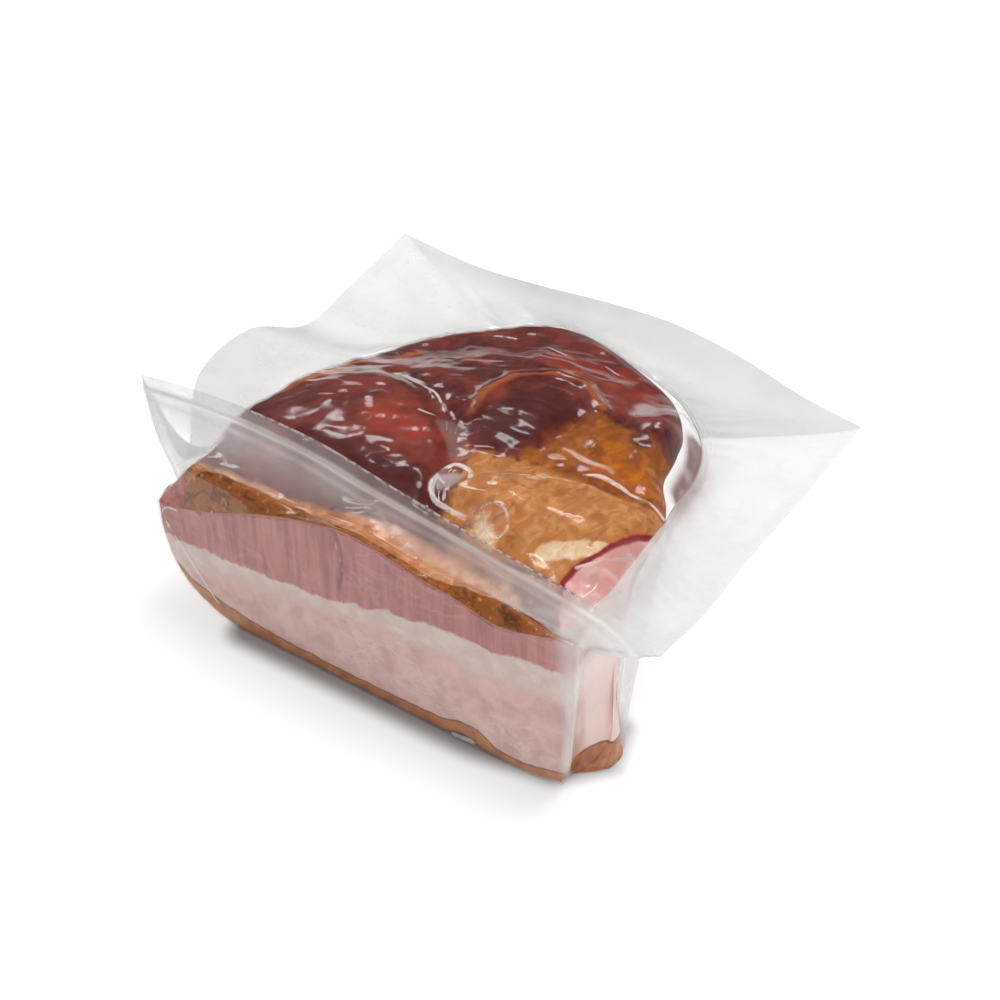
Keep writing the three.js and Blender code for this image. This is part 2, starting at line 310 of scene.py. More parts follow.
def make_columns(steps, outline):
    """Every column of the pack, anticlockwise from its front left corner as seen from above."""
    parts = []
    for turn, side in enumerate(SIDES):
        share = np.arange(steps[side]) / steps[side]
        zero = np.zeros_like(share)
        if side == "front":
            x = mix(-HALF_LENGTH, HALF_LENGTH, share)
            tuck = 40 * (1 - smooth(share / 0.35)) - 9 * smooth((share - 0.85) / 0.15)
            to_right = smooth((share - 0.9) / 0.1)
            ends = 6.5 * (1 - smooth(share / 0.2)) + 5 * to_right
            part = dict(
                upper=np.stack([x, zero + LONG_CUT_Y, cut_height(x)], 1),
                foot=np.stack([x + tuck, LONG_CUT_Y + 3 + 2 * to_right], 1),
                square=9 - ends,
                shoulder=zero + FRONT_SHOULDER,
                from_cut=zero,
                natural=zero,
                flat=zero,
                bow=np.stack([zero, -2 - 4 * smooth((share - 0.4) / 0.6), zero], 1),
            )
        else:
            around = (turn - 1 + share) / (len(SIDES) - 1)
            square = curve_through([(n, 0) for n in outline.square], around)[:, 0]
            from_cut = smooth(np.minimum(around, 1 - around) / 0.04)
            past_cut = smooth((around - outline.cut_end) / 0.01)
            part = dict(
                upper=curve_through(outline.upper, around),
                foot=curve_through(outline.foot, around),
                square=square.clip(0.35),
                shoulder=mix(*SHOULDERS, smooth((around - 0.1) / 0.07)),
                from_cut=from_cut,
                natural=past_cut * smooth((1 - around) / 0.05),
                flat=smooth(around / 0.03) * (1 - past_cut),
                bow=np.stack([zero, zero, -2 * from_cut], 1),
            )
        free = curve_through(FREE_EDGE[side], share)
        parts.append(dict(part, free=free, share=share, side=zero + turn))
    columns = {key: np.concatenate([p[key] for p in parts]) for key in parts[0]}
    columns = SimpleNamespace(**columns)
    inward = MIDDLE - columns.upper[:, :2]
    columns.reach = np.hypot(*inward.T)
    columns.inward = inward / columns.reach[:, None]
    front_root = columns.reach * RIM_ROOT_DEPTH / np.abs(inward[:, 1]).clip(20)
    columns.root_at = mix(front_root, RIM_ROOT_INSET, columns.from_cut)
    columns.count = len(columns.reach)
    step = np.linalg.norm(np.diff(columns.upper[:, :2], axis=0), axis=1)
    columns.along = np.concatenate([[0], np.cumsum(step)])
    columns.corner_along = columns.along[steps["front"]]
    return columns


def top_point(columns, inset, crease=1.0, lift=0.0):
    """Points of the top at these distances in from the slab's edge: an array of rings by columns."""
    xy = columns.upper[:, :2] + columns.inward * inset[..., None]
    rounding = 1 - (1 - np.clip(inset / columns.shoulder, 0, 1)) ** 2.4
    height = top_height(xy[..., 0], xy[..., 1], crease)
    z = mix(columns.upper[:, 2], height, rounding) + lift
    return np.concatenate([xy, z[..., None]], -1)


def side_points(columns, ring_count):
    """Points of the sides, from their upper edge down to their foot.

    The first rings go down the wall and the last ones round the turn to the foot."""
    turn = np.linspace(0, 1, ring_count)[:, None]
    square = columns.square
    corner = 0.5 ** (1 / square)
    wall = mix(0.45, 0.72, smooth((square - 1) / 1.5))
    power = np.maximum(1, 1 / square)
    down = corner * (turn / wall).clip(0, 1) ** power
    left = corner * ((1 - turn) / (1 - wall)).clip(0, 1) ** power
    inward = 1 - np.where(turn <= wall, (1 - down**square).clip(0) ** (1 / square), left)
    down = np.where(turn <= wall, down, (1 - left**square).clip(0) ** (1 / square))
    # Across the short cut the wall stays in one plane, however its far edge curves
    share = np.stack([mix(inward, down, columns.flat), inward], -1)
    xy = mix(columns.upper[:, :2], columns.foot, share)
    z = columns.upper[:, 2] * (1 - down)
    return np.concatenate([xy, z[..., None]], -1)


def foot_points(columns, shares):
    """Points of the flat foot at these shares of the way in from its edge."""
    xy = mix(columns.foot, MIDDLE, shares[:, None, None])
    return np.concatenate([xy, np.zeros((*xy.shape[:2], 1))], -1)


def grid_normals(rings):
    """Outward normals of a stack of rings."""
    around = np.roll(rings, -1, 1) - np.roll(rings, 1, 1)
    outward = np.gradient(rings, axis=0)
    normals = np.cross(outward, around)
    return normals / np.linalg.norm(normals, axis=-1, keepdims=True).clip(1e-9)


def new_mesh_object(name, rings, fields, first=None, last=None):
    """A skin over closed rings of points in millimetres, with a point at either end if given.

    fields are named numbers for every point of the rings, which the materials read."""
    ring_count, count = rings.shape[:2]
    points = rings.reshape(-1, 3)
    ring, i = np.meshgrid(np.arange(ring_count - 1), np.arange(count), indexing="ij")
    following = (i + 1) % count
    upper, lower = ring * count, (ring + 1) * count
    quads = [upper + i, lower + i, lower + following, upper + following]
    faces = np.stack(quads, -1).reshape(-1, 4).tolist()
    ends = [p for p in (first, last) if p is not None]
    edge = np.arange(count)
    edge_next = (edge + 1) % count
    if first is not None:
        pole = len(points)
        faces += np.stack([np.full(count, pole), edge, edge_next], 1).tolist()
    if last is not None:
        pole = len(points) + len(ends) - 1
        base = (ring_count - 1) * count
        faces += np.stack([base + edge_next, base + edge, np.full(count, pole)], 1).tolist()
    points = np.vstack([points, *ends]) if ends else points
    mesh = bpy.data.meshes.new(name)
    mesh.from_pydata((points * MM).tolist(), [], faces)
    for field, values in fields.items():
        values = np.broadcast_to(values, rings.shape[:2]).reshape(-1)
        end_values = []
        if first is not None:
            end_values.append(values[:count].mean())
        if last is not None:
            end_values.append(values[-count:].mean())
        attribute = mesh.attributes.new(field, "FLOAT", "POINT")
        values = np.concatenate([values, end_values]).astype(np.float32)
        attribute.data.foreach_set("value", values)
    mesh.polygons.foreach_set("use_smooth", np.ones(len(faces), bool))
    mesh.update()
    piece = bpy.data.objects.new(name, mesh)
    bpy.context.scene.collection.objects.link(piece)
    return piece


def linear(red, green, blue):
    """A colour given as on a screen, from 0 to 255, as Blender's linear numbers."""
    parts = (c / 255 for c in (red, green, blue))
    return tuple(c / 12.92 if c <= 0.04045 else ((c + 0.055) / 1.055) ** 2.4 for c in parts)


def shade(name):
    """One of the named shades in linear numbers."""
    return linear(*SHADES[name])


def color_property(name, description, default):
    """A colour that a user can change."""
    limits = dict(size=3, min=0, max=1)
    return bpy.props.FloatVectorProperty(
        name=name, description=description, subtype="COLOR", default=default, **limits
    )


class SlabSettings(bpy.types.PropertyGroup):
    """Sizes and colours of the slab of bacon."""

    wavy: bpy.props.FloatProperty(
        name="Layer waviness", description="How far the layers of the cut wander, in millimetres",
        default=1.2, min=0,
    )
    lean: color_property("Lean", "Colour of the lean on the cut", linear(182, 116, 112))
    lean_dark: color_property("Dark lean", "Colour of the lean's darker fibres", linear(150, 86, 86))
    fat: color_property("Fat", "Colour of the fat seam", linear(212, 194, 184))
    fat_pink: color_property("Pink fat", "Colour of the fat under the seam", linear(212, 176, 168))
    rind: color_property("Rind", "Colour of the rind", linear(190, 124, 80))
    rind_dark: color_property("Dark rind", "Colour of the rind's darker parts", linear(158, 94, 54))
    rind_line: color_property(
        "Rind edge", "Colour of the line where the rind meets the fat", linear(122, 70, 40)
    )
    mahogany: color_property("Smoked lean", "Colour of the smoked lean", linear(104, 36, 30))
    mahogany_dark: color_property("Dark smoked lean", "Darkest smoked lean", linear(66, 15, 15))
    amber: color_property("Amber", "Colour of the smoked fat", linear(126, 62, 8))
    tan: color_property("Tan", "Colour of the lightly smoked fat", linear(168, 104, 52))
    # Partly the palest smoked fat and partly painted highlight, where the film shines over the tan lobe
    cream_and_sheen: color_property("Cream", "Colour of the palest smoked fat", linear(206, 170, 128))
    crust: color_property("Crust", "Colour of the crust above the long cut", linear(154, 86, 36))
    crust_dark: color_property("Dark crust", "Darkest parts of that crust", linear(98, 56, 24))
    pink: color_property("Pink", "Colour of the short cut", linear(196, 136, 130))
    # Partly the short cut's own paler fat and partly painted light on that side
    pale: color_property("Pale fat", "Colour of the short cut's fat", linear(246, 218, 212))
    edge: color_property("Cut edge", "Colour of the short cut's upper edge", linear(128, 26, 34))


class FilmSettings(bpy.types.PropertyGroup):
    """Sizes and colours of the film."""

    gap: bpy.props.FloatProperty(
        name="Gap", description="Gap between the film and the slab, in millimetres", default=0.45, min=0.1
    )
    milk: color_property("Milkiness", "Colour of the film's haze", linear(238, 236, 234))
    # Painted shade: the flat rim's haze is made grey
    milk_grey: color_property(
        "Flat rim", "Colour of the haze where the rim lies flat", linear(176, 176, 175)
    )
    # Painted shade: a darker pink-grey for the haze where the film bridges a shaded hollow or hangs in
    # front of the meat
    shade_tint: color_property(
        "Stain", "Colour of the haze where the film bridges a hollow", linear(158, 134, 134)
    )
    # Painted refraction: the dark colour of the sealed edge in front of the meat
    edge_refraction: color_property("Sealed edge", "Colour of the sealed edge's dark line", linear(124, 80, 80))
    tint: color_property("Tint", "What light keeps through the film", (0.97, 0.97, 0.965))


class StageSettings(bpy.types.PropertyGroup):
    """The camera and the light."""

    lens: bpy.props.FloatProperty(
        name="Lens", description="Focal length of the camera", default=57.6, unit="CAMERA"
    )
    camera_place: bpy.props.FloatVectorProperty(
        name="Camera", description="Where the camera stands", subtype="TRANSLATION", unit="LENGTH",
        default=(0.2932, -0.3881, 0.3675),
    )
    camera_aim: bpy.props.FloatVectorProperty(
        name="Aim", description="What the camera looks at", subtype="TRANSLATION", unit="LENGTH",
        default=(-0.0016, 0.0168, 0.030),
    )
    key_power: bpy.props.FloatProperty(
        name="Key light", description="Power of the overhead softbox", default=11.5, unit="POWER"
    )
    glint_power: bpy.props.FloatProperty(
        name="Glint light", description="Power of the small softbox behind the pack", default=1.2,
        unit="POWER",
    )
    fill_power: bpy.props.FloatProperty(
        name="Fill light", description="Power of the softbox at the camera's left", default=3.0,
        unit="POWER",
    )


def new_material(name):
    """An empty node material, and the surface socket of its output."""
    material = bpy.data.materials.new(name)
    material.use_nodes = True
    nodes = material.node_tree.nodes
    nodes.clear()
    return material, nodes.new("ShaderNodeOutputMaterial").inputs["Surface"]


class Wiring:
    """Short ways to add nodes to one node tree. A value is a number, a colour or another node's output."""

    def __init__(self, tree):
        self.tree = tree

    def node(self, kind, **settings):
        made = self.tree.nodes.new(kind)
        for key, value in settings.items():
            setattr(made, key, value)
        return made

    def join(self, value, socket):
        """Link another node's output to this socket, or set the number or colour on it."""
        if isinstance(value, bpy.types.NodeSocket):
            self.tree.links.new(value, socket)
        elif hasattr(value, "__len__"):
            value = tuple(value)
            wide = len(socket.default_value)
            socket.default_value = value if len(value) == wide else (*value, 1.0)
        else:
            socket.default_value = value

    def math(self, operation, a, b=0.0):
        made = self.node("ShaderNodeMath", operation=operation)
        self.join(a, made.inputs[0])
        self.join(b, made.inputs[1])
        return made.outputs[0]

    def add(self, a, b):
        return self.math("ADD", a, b)

    def times(self, a, b):
        return self.math("MULTIPLY", a, b)

    def field(self, name):
        """One of the numbers that new_mesh_object gave every point."""
        return self.node("ShaderNodeAttribute", attribute_name=name).outputs["Fac"]

    def place(self, stretch=(1, 1, 1), turn=(0, 0, 0)):
        """The point's place in the part's frame, stretched and turned."""
        made = self.node("ShaderNodeMapping")
        made.inputs["Scale"].default_value = stretch
        made.inputs["Rotation"].default_value = turn
        source = self.node("ShaderNodeTexCoord").outputs["Object"]
        self.tree.links.new(source, made.inputs["Vector"])
        return made.outputs["Vector"]

    def noise(self, size, detail=3.0, rough=0.55, twist=0.0, place=None):
        """Noise from 0 to 1 with lumps of this size, in metres."""
        made = self.node("ShaderNodeTexNoise")
        made.inputs["Scale"].default_value = 1 / size
        made.inputs["Detail"].default_value = detail
        made.inputs["Roughness"].default_value = rough
        made.inputs["Distortion"].default_value = twist
        self.join(place or self.place(), made.inputs["Vector"])
        return made.outputs["Fac"]

    def step(self, value, low, high, to_low=0.0, to_high=1.0):
        """A soft step of value from low to high."""
        made = self.node("ShaderNodeMapRange", interpolation_type="SMOOTHSTEP", clamp=True)
        names = ("Value", "From Min", "From Max", "To Min", "To Max")
        for name, number in zip(names, (value, low, high, to_low, to_high)):
            self.join(number, made.inputs[name])
        return made.outputs["Result"]

    def blend(self, share, a, b):
        """Colour a turning into colour b."""
        made = self.node("ShaderNodeMix", data_type="RGBA")
        sockets = [s for s in made.inputs if s.enabled]
        for value, socket in zip((share, a, b), sockets):
            self.join(value, socket)
        return [s for s in made.outputs if s.enabled][0]

    def bump(self, height, strength, distance):
        """The surface's normal, tilted by a relief of this height."""
        made = self.node("ShaderNodeBump")
        made.inputs["Strength"].default_value = strength
        made.inputs["Distance"].default_value = distance
        self.join(height, made.inputs["Height"])
        return made.outputs["Normal"]

    def group(self, group, **values):
        """A node group placed here with these values on its inputs."""
        made = self.node("ShaderNodeGroup", node_tree=group)
        for name, value in values.items():
            self.join(value, made.inputs[name.replace("_", " ")])
        return made


def new_group(name, inputs, outputs):
    """A shader node group with these sockets, its wiring, its inputs and its output node."""
    group = bpy.data.node_groups.new(name, "ShaderNodeTree")
    for title, kind, default in inputs:
        socket = group.interface.new_socket(title, in_out="INPUT", socket_type=kind)
        socket.default_value = default
    for title, kind in outputs:
        group.interface.new_socket(title, in_out="OUTPUT", socket_type=kind)
    wiring = Wiring(group)
    source = wiring.node("NodeGroupInput").outputs
    target = wiring.node("NodeGroupOutput").inputs
    return group, wiring, source, target


def marbling_group():
    """Fat running through meat: wandering pale veins, and the meat's own mottling."""
    found = bpy.data.node_groups.get("marbling")
    if found:
        return found
    group, w, source, target = new_group(
        "marbling",
        [("Vein Size", "NodeSocketFloat", 0.012), ("Amount", "NodeSocketFloat", 0.5)],
        [("Vein", "NodeSocketFloat"), ("Mottle", "NodeSocketFloat")],
    )
    made = w.node("ShaderNodeTexNoise")
    made.inputs["Detail"].default_value = 4.0
    made.inputs["Distortion"].default_value = 1.2
    w.join(w.math("DIVIDE", 1.0, source["Vein Size"]), made.inputs["Scale"])
    w.join(w.place((0.6, 0.6, 1.6)), made.inputs["Vector"])
    fold = w.math("ABSOLUTE", w.add(made.outputs["Fac"], -0.5))
    vein = w.step(fold, 0.0, w.times(source["Amount"], 0.08), 1.0, 0.0)
    w.join(w.times(vein, w.step(w.noise(0.03, 1.0), 0.42, 0.6)), target["Vein"])
    w.join(w.noise(0.009, 4.0, 0.6, 0.4), target["Mottle"])
    return group


def make_bacon_material(look):
    """The slab: its layered cuts, its smoked top and its rind, told apart by the mesh's fields."""
    material, surface = new_material("smoked_bacon")
    w = Wiring(material.node_tree)
    marbling = w.group(marbling_group(), Vein_Size=0.014, Amount=0.5).outputs
    mottle = marbling["Mottle"]
    wander = w.times(w.add(w.noise(0.009, 4.0, 0.6), -0.5), 5.0)
    fine = w.times(w.add(w.noise(0.0022, 3.0, 0.6), -0.5), 2.0)
    ragged = w.add(wander, fine)

    # The lean: near-vertical fibres, darker and lighter
    fibre = w.noise(0.0035, 4.0, 0.6, 0.3, w.place((1, 1, 0.12), (0, -0.1, 0)))
    lean = w.blend(w.step(fibre, 0.26, 0.72), look.lean_dark, look.lean)
    lean = w.blend(w.step(mottle, 0.45, 0.8, 0, 0.35), lean, look.pink)
    lean = w.blend(w.times(marbling["Vein"], 0.12), lean, look.fat)
    # Painted shade: the lean is darkened in its crease
    crease = w.step(w.add(w.field("crease"), w.times(fine, 0.3)), 0.2, 1.6, 0.6, 0)
    lean = w.blend(crease, lean, shade("painted shade in the lean crease"))

    # The fat: a greyish seam, then a pinker layer down to the rind
    fat = w.blend(w.step(mottle, 0.35, 0.7), shade("grey seam"), look.fat)
    low_fat = w.blend(w.step(mottle, 0.3, 0.72), look.fat_pink, shade("deep low fat"))
    low_fat = w.blend(w.times(marbling["Vein"], 0.5), low_fat, look.fat)
    under_seam = w.step(w.add(w.field("seam"), w.times(ragged, 1.2)), -3.0, 3.0, 1, 0)
    fat = w.blend(under_seam, fat, low_fat)
    in_lean = w.step(w.add(w.field("lean"), ragged), -0.7, 0.7)
    cut = w.blend(in_lean, fat, lean)
    # The short cut turns paler: partly its own fat and partly painted light, as that side catches more
    # light
    cut = w.blend(w.field("pale"), cut, look.pale)

    # The rind, brown with a darker line where it meets the fat
    rind_field = w.add(w.field("rind"), w.times(ragged, 0.45))
    rind = w.blend(w.step(w.noise(0.006, 3.0), 0.3, 0.7), look.rind_dark, look.rind)
    rind = w.blend(w.step(rind_field, -1.1, -0.2), rind, look.rind_line)
    cut = w.blend(w.step(rind_field, -0.35, 0.35, 1, 0), cut, rind)

    # The smoked top and the natural sides
    streak = w.noise(0.005, 4.0, 0.6, 0.8, w.place((1, 0.4, 1), (0, 0, 0.5)))
    smoked = w.blend(w.step(streak, 0.3, 0.7), look.mahogany_dark, look.mahogany)
    patches = w.step(w.noise(0.02, 3.0, 0.6), 0.42, 0.7, 0, 0.7)
    smoked = w.blend(patches, smoked, shade("brown lean"))
    bright = w.times(w.field("bright"), w.step(mottle, 0.3, 0.7, 0.2, 1))
    smoked = w.blend(bright, smoked, shade("bright lean"))
    grain = w.noise(0.005, 5.0, 0.6, 1.2, w.place((1, 0.55, 1), (0, 0, -0.3)))
    hairs = w.noise(0.006, 3.0, 0.55, 1.2, w.place((1, 0.4, 1), (0, 0, 0.45)))
    haze = w.step(w.field("orange"), 0.1, 0.9, 0, 0.35)
    smoked = w.blend(haze, smoked, shade("orange haze"))
    # Of these finishes, the cream one is partly pale fat and partly painted highlight of the film's shine
    for name, deep, pale, lines in (
        ("amber", look.amber, shade("pale amber"), shade("amber line")),
        ("glow", shade("deep glow"), shade("pale glow"), look.amber),
        ("tan", look.tan, shade("pale tan"), shade("tan line")),
        ("orange", shade("deep orange"), shade("pale orange"), shade("orange line")),
        ("cream_and_sheen", look.cream_and_sheen, shade("pale cream"), look.tan),
    ):
        mottled = w.blend(w.step(grain, 0.4, 0.7), deep, pale)
        mottled = w.blend(w.step(hairs, 0.54, 0.7, 0, 0.65), mottled, lines)
        field = w.add(w.field(name), w.times(ragged, 0.16))
        full = 0.95 if name == "orange" else 0.58
        smoked = w.blend(w.step(field, 0.3, full), smoked, mottled)
    soft_grain = w.step(grain, 0.35, 0.7)
    red_end = w.blend(soft_grain, shade("deep red end"), shade("pale red end"))
    smoked = w.blend(w.step(w.field("red_end"), 0.2, 0.7), smoked, red_end)
    brim = w.add(w.field("brim"), w.times(ragged, 0.12))
    smoked = w.blend(w.step(brim, 0.25, 0.8, 0, 0.75), smoked, shade("brim"))
    dark = w.add(w.field("dark"), w.times(ragged, 0.12))
    smoked = w.blend(w.step(dark, 0.35, 0.75, 0, 0.8), smoked, look.mahogany_dark)

    # The short cut where it shows above, with its dark edge
    pink = w.blend(w.step(mottle, 0.4, 0.7), look.pink, look.fat_pink)
    pink_field = w.add(w.field("pink"), w.times(fine, 0.35))
    smoked = w.blend(w.step(pink_field, -0.2, 0.5), smoked, pink)
    near_edge = w.math("ABSOLUTE", pink_field)
    edge_line = w.times(w.step(near_edge, 0.5, 1.6, 1, 0), w.field("edge_line"))
    smoked = w.blend(edge_line, smoked, look.edge)

    # The crust between the long cut and the rim, and the paler strip behind it
    crags = w.noise(0.004, 5.0, 0.65, 0.8, w.place((0.6, 1, 1), (0, 0, 0)))
    pale_crust = w.blend(soft_grain, shade("deep pale crust"), shade("pale crust"))
    crag = w.step(crags, 0.3, 0.5, 0.7, 0)
    pale_crust = w.blend(crag, pale_crust, shade("crag in pale crust"))
    behind = w.add(w.field("behind_crust"), w.times(ragged, 0.2))
    smoked = w.blend(w.step(behind, 0.2, 0.9), smoked, pale_crust)
    olive = w.step(w.noise(0.012, 3.0, 0.6), 0.56, 0.7, 0, 0.6)
    crust = w.blend(olive, look.crust, shade("olive crust"))
    crust = w.blend(w.step(crags, 0.36, 0.54, 1, 0), crust, look.crust_dark)
    crust = w.blend(w.step(fine, 0.1, 0.5, 0, 0.8), crust, shade("crumb"))
    crust_field = w.add(w.field("crust"), w.times(fine, 0.2))
    smoked = w.blend(w.step(crust_field, 0.35, 0.6), smoked, crust)

    # Natural sides turn to smoked fat and then to rind on their way down
    side = w.blend(soft_grain, look.rind, look.tan)
    low = w.add(w.field("low"), w.times(ragged, 0.08))
    smoked = w.blend(w.step(low, 0.35, 0.5), smoked, side)
    smoked = w.blend(w.step(low, 0.72, 0.8), smoked, rind)

    # Under the crust's ragged lower edge the cut begins
    hanging = w.step(w.add(w.field("drop"), w.times(ragged, 1.1)), 0.9, 1.6, 1, 0)
    smoked = w.blend(hanging, smoked, crust)
    on_cut = w.step(w.add(w.field("cut"), w.times(fine, 0.1)), 0.4, 0.6)
    on_cut = w.times(on_cut, w.math("SUBTRACT", 1.0, hanging))
    color = w.blend(on_cut, smoked, cut)
    relief = w.add(w.times(grain, 0.5), w.times(crags, 0.5))
    shader = w.node("ShaderNodeBsdfPrincipled")
    w.join(color, shader.inputs["Base Color"])
    w.join(w.step(mottle, 0.3, 0.7, 0.42, 0.6), shader.inputs["Roughness"])
    w.join(w.bump(relief, *MEAT_BUMP), shader.inputs["Normal"])
    shader.inputs["Specular IOR Level"].default_value = 0.2
    shader.inputs["Subsurface Weight"].default_value = 0.1
    shader.inputs["Subsurface Radius"].default_value = (0.004, 0.0018, 0.001)
    shader.inputs["Subsurface Scale"].default_value = 1.0
    w.join(shader.outputs[0], surface)
    return material


def film_creases(w):
    """Height of the film's fine creases: streaks with sharp crests, in patches where it clings."""
    folds = []
    for size, stretch, turn, seed in (
        (0.009, (1, 0.3, 1), 0.55, 0.0),
        (0.008, (0.3, 1, 1), 0.2, 4.0),
    ):
        made = w.node("ShaderNodeTexNoise", noise_dimensions="4D")
        made.inputs["Scale"].default_value = 1 / size
        made.inputs["Detail"].default_value = 1.5
        made.inputs["Distortion"].default_value = 0.5
        made.inputs["W"].default_value = seed
        w.join(w.place(stretch, (0, 0, turn)), made.inputs["Vector"])
        fold = w.math("ABSOLUTE", w.add(made.outputs["Fac"], -0.5))
        folds.append(w.step(fold, 0.0, 0.05, 1.0, 0.0))
    both = w.math("MAXIMUM", *folds)
    patches = w.step(w.noise(0.02, 2.0), 0.5, 0.64)
    clings = w.step(w.field("taut"), 0.0, 1.0, 1.0, 0.0)
    return w.times(w.times(both, patches), clings)


def make_film_material(look):
    """Clear film: it lets light through, shines where it turns away, and is milky by the mesh's fields."""
    material, surface = new_material("clear_film")
    w = Wiring(material.node_tree)
    normal = w.bump(film_creases(w), *FILM_BUMP)
    cloudy = w.noise(0.02, 3.0, 0.55)
    clouds = w.times(w.step(cloudy, 0.3, 0.7, -1, 1), w.step(w.field("grey"), 0, 1, 0.26, 0.05))
    milk = w.times(w.field("milk"), w.add(clouds, 1.0))
    # Painted highlight: milky white along the streaks stands in for the film's shine
    streak = w.step(w.field("streak"), 0.5, 1.15, 0.8, 0.0)
    streak = w.times(streak, w.step(w.noise(0.006, 3.0), 0.34, 0.5, 0.25, 1.0))
    milk = w.math("MAXIMUM", milk, streak)

    # The sealed edge shows as a beaded line in front of the meat. Its dark colour is painted refraction,
    # the meat seen bent through the edge, while the beads break it up like the seal's pattern
    beads = w.step(w.noise(0.002, 1.0), 0.42, 0.5)
    sealed = w.step(w.field("edge"), 0.5, 1.1, 0.75, 0.0)
    milk = w.math("MAXIMUM", milk, sealed)
    # Painted shade: where the rim lies flat the haze turns grey
    tone = w.blend(w.field("grey"), look.milk, look.milk_grey)
    # Painted shade darkens the haze in hollows and in front of the meat
    tone = w.blend(w.field("shade_tint"), tone, look.shade_tint)
    tone = w.blend(w.times(sealed, w.math("SUBTRACT", 1.0, beads)), tone, look.edge_refraction)

    clear = w.node("ShaderNodeBsdfTransparent")
    clear.inputs["Color"].default_value = (*look.tint, 1)
    front = w.node("ShaderNodeBsdfDiffuse")
    through = w.node("ShaderNodeBsdfTranslucent")
    haze = w.node("ShaderNodeMixShader")
    haze.inputs["Fac"].default_value = 0.5
    for shader, socket in ((front, haze.inputs[1]), (through, haze.inputs[2])):
        w.join(tone, shader.inputs["Color"])
        w.join(shader.outputs[0], socket)
    # Haze scatters light forwards, so it throws a much thinner shadow than it looks
    shadow = w.node("ShaderNodeLightPath").outputs["Is Shadow Ray"]
    body = w.node("ShaderNodeMixShader")
    w.join(w.times(milk, w.step(shadow, 0, 1, 1, 0.12)), body.inputs["Fac"])
    w.join(clear.outputs[0], body.inputs[1])
    w.join(haze.outputs[0], body.inputs[2])
    shine = w.node("ShaderNodeBsdfAnisotropic")
    shine.inputs["Color"].default_value = (1, 1, 1, 1)
    w.join(w.step(w.field("rim"), 0, 1, 0.16, 0.4), shine.inputs["Roughness"])
    w.join(normal, shine.inputs["Normal"])
    # The film is one skin with air on both sides, so its back shines as its front does
    behind = w.node("ShaderNodeNewGeometry").outputs["Backfacing"]
    fresnel = w.node("ShaderNodeFresnel")
    w.join(w.step(behind, 0, 1, FILM_IOR, 1 / FILM_IOR), fresnel.inputs["IOR"])
    w.join(normal, fresnel.inputs["Normal"])
    whole = w.node("ShaderNodeMixShader")
    w.join(fresnel.outputs[0], whole.inputs["Fac"])
    w.join(body.outputs[0], whole.inputs[1])
    w.join(shine.outputs[0], whole.inputs[2])
    w.join(whole.outputs[0], surface)
    return material


def make_floor_material():
    """The floor: it glows except close to the slab, so that a shadow stays only there."""
    material, surface = new_material("pale_floor")
    w = Wiring(material.node_tree)
    shader = w.node("ShaderNodeBsdfPrincipled")
    dark, light = ((tone,) * 3 for tone in FLOOR_TONES)
    w.join(w.blend(w.noise(0.4, 2.0), dark, light), shader.inputs["Base Color"])
    shader.inputs["Roughness"].default_value = 0.7
    lit = w.step(w.field("away"), 5.0, 15.0, 0.0, FLOOR_GLOW)
    lit = w.add(lit, w.step(w.field("away"), 150.0, 1000.0, 0.0, FAR_GLOW))
    w.join(w.blend(lit, (0, 0, 0), (1, 1, 1)), shader.inputs["Emission Color"])
    shader.inputs["Emission Strength"].default_value = 1.0
    w.join(shader.outputs[0], surface)
    return material


SLAB_STEPS = {"front": 170, "right": 130, "back": 90, "left": 80}
FILM_STEPS = {"front": 160, "right": 110, "back": 90, "left": 90}
# The dark edge of the short cut, as (y, x)
SHORT_CUT_EDGE = [
    (-74, 87), (-60, 76), (-50, 71.5), (-43, 71.5), (-35, 75), (-27, 77),
    (-18, 78.5), (-11, 80.5), (-4, 84), (6, 96),
]
# Where each finish of the smoked top lies: how strong it is, a path of plan points and its reach
FINISHES = {
    "amber": [
        (1, [(34, 24), (62, 25)], 12),
        (1, [(36, 10), (74, 12)], 13),
        (0.9, [(27, -2), (44, -2)], 7),
    ],
    "glow": [(1, [(52, 12), (62, 12)], 9), (0.7, [(46, 22)], 6)],
    "tan": [
        (1, [(20, -18), (44, -12), (76, -9)], 12),
        (1, [(28, -36), (72, -30)], 15),
        (1, [(40, -52), (68, -48)], 9),
    ],
    # Cream: partly pale fat and partly painted highlight of the film, strongest just above the short cut's
    # edge
    "cream_and_sheen": [
        (1, [(60, -43), (67, -38), (74, -33)], 3.6),
        (0.8, [(28, -28)], 2.2),
        (0.55, [(34, -44), (42, -48)], 5),
        (0.42, [(27, -24), (35, -14), (45, -5), (57, -3)], 3.5),
    ],
    "orange": [
        (1, [(-80, -14), (-78, 2), (-78, 19)], 4),
        (0.8, [(-78, 23), (-68, 40), (-64, 47)], 3),
        (0.7, [(-44, 48), (-29, 47)], 3.5),
        (0.7, [(2, -10), (12, -28)], 3.5),
        (0.5, [(-11, 58), (20, 62)], 4),
    ],
    "bright": [
        (1, [(-14, -18), (-30, -13)], 10),
        (0.7, [(29, 67), (-10, 70)], 9),
        (0.6, [(-56, -8), (-50, 6)], 9),
    ],
    "brim": [(1, RELIEF["brim"][0], 2.4)],
    "dark": [
        (1, [(8, 6), (10, 26)], 17),
        (1, [(49, 32)], 5),
        (1, [(-46, -40), (12, -44)], 10),
        (1, [(58, 44), (56, 54)], 4),
        (0.8, [(50, -53), (66, -52)], 1.5),
    ],
}


def rounded(path):
    """The same path with its corners rounded off."""
    return curve_through(path, np.linspace(0, 1, 4 * len(path))) if len(path) > 2 else path


def near(x, y, path, spread):
    """1 on a path of plan points, fading out past spread."""
    return bell(path_distance(x, y, rounded(path)) / spread)


